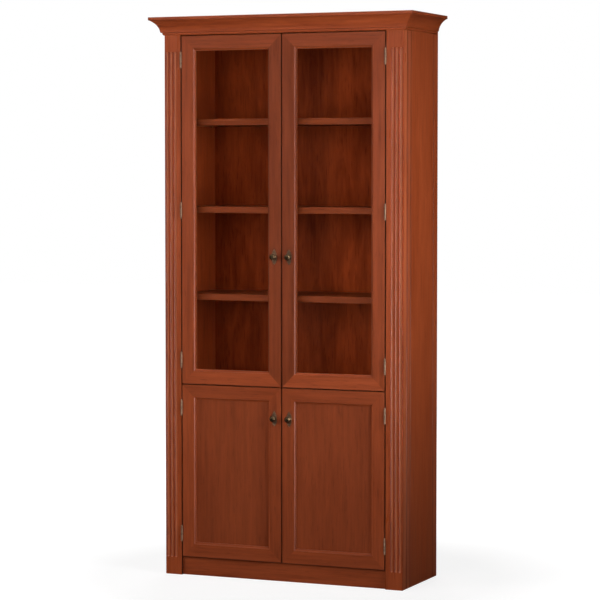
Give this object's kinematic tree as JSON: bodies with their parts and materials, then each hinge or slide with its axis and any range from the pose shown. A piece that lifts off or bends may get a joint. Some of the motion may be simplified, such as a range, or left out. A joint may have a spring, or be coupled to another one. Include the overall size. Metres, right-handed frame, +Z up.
{
  "type": "bookcase with glass doors",
  "caption": "Tall bookcase with glazed doors above, panelled doors below, fluted pilasters and a cove cornice; all doors swing on butt hinges.",
  "frame": {"origin": "on the floor, under the centre of the whole piece, cornice included", "axes": "+Z up, -Y is the front with the doors, +X to the right when facing the front"},
  "size_m": [1.075, 0.406, 2.134],
  "materials": {
    "cherry_wood": "satin lacquer",
    "cherry_veneer": "satin lacquer",
    "softwood": "sawn",
    "clear_glass": "polished",
    "antique_brass": "antiqued",
    "catch_plastic": "matt"
  },
  "bodies": {
    "case": {"back_panel": "cherry_veneer", "bottom_panel": "cherry_wood", "cornice_front": "cherry_wood", "cornice_left": "cherry_wood", "cornice_right": "cherry_wood", "door_catches": "catch_plastic", "fixed_shelf": "cherry_wood", "frame_hinge_leaves": "antique_brass", "head_rail": "cherry_wood", "hinge_pins": "antique_brass", "left_inner_panel": "cherry_wood", "left_pilaster": "cherry_wood", "left_side_panel": "cherry_wood", "lower_shelf": "cherry_wood", "plinth_rail": "cherry_wood", "right_inner_panel": "cherry_wood", "right_pilaster": "cherry_wood", "right_side_panel": "cherry_wood", "shelf_pins": "antique_brass", "side_spacer_battens": "softwood", "top_panel": "cherry_wood", "upper_shelf_1": "cherry_wood", "upper_shelf_2": "cherry_wood", "upper_shelf_3": "cherry_wood"},
    "upper_left_door": {"upper_left_bottom_rail": "cherry_wood", "upper_left_glass_beads": "cherry_wood", "upper_left_glass_pane": "clear_glass", "upper_left_hinge_leaves": "antique_brass", "upper_left_hinge_stile": "cherry_wood", "upper_left_knob": "antique_brass", "upper_left_knob_plate": "antique_brass", "upper_left_meeting_stile": "cherry_wood", "upper_left_top_rail": "cherry_wood"},
    "upper_right_door": {"upper_right_bottom_rail": "cherry_wood", "upper_right_glass_beads": "cherry_wood", "upper_right_glass_pane": "clear_glass", "upper_right_hinge_leaves": "antique_brass", "upper_right_hinge_stile": "cherry_wood", "upper_right_knob": "antique_brass", "upper_right_knob_plate": "antique_brass", "upper_right_meeting_stile": "cherry_wood", "upper_right_top_rail": "cherry_wood"},
    "lower_left_door": {"lower_left_bottom_rail": "cherry_wood", "lower_left_hinge_leaves": "antique_brass", "lower_left_hinge_stile": "cherry_wood", "lower_left_knob": "antique_brass", "lower_left_knob_plate": "antique_brass", "lower_left_meeting_stile": "cherry_wood", "lower_left_panel": "cherry_veneer", "lower_left_top_rail": "cherry_wood"},
    "lower_right_door": {"lower_right_bottom_rail": "cherry_wood", "lower_right_hinge_leaves": "antique_brass", "lower_right_hinge_stile": "cherry_wood", "lower_right_knob": "antique_brass", "lower_right_knob_plate": "antique_brass", "lower_right_meeting_stile": "cherry_wood", "lower_right_panel": "cherry_veneer", "lower_right_top_rail": "cherry_wood"}
  },
  "joints": [
    {"name": "upper_left_door_swing", "type": "hinge", "parent": "case", "child": "upper_left_door", "pos_m": [-0.4175, -0.1661, 0.738], "axis": [0, 0, -1], "range_deg": [0, 170]},
    {"name": "upper_right_door_swing", "type": "hinge", "parent": "case", "child": "upper_right_door", "pos_m": [0.4175, -0.1661, 0.738], "axis": [0, 0, 1], "range_deg": [0, 170]},
    {"name": "lower_left_door_swing", "type": "hinge", "parent": "case", "child": "lower_left_door", "pos_m": [-0.4175, -0.1661, 0.072], "axis": [0, 0, -1], "range_deg": [0, 170]},
    {"name": "lower_right_door_swing", "type": "hinge", "parent": "case", "child": "lower_right_door", "pos_m": [0.4175, -0.1661, 0.072], "axis": [0, 0, 1], "range_deg": [0, 170]}
  ]
}
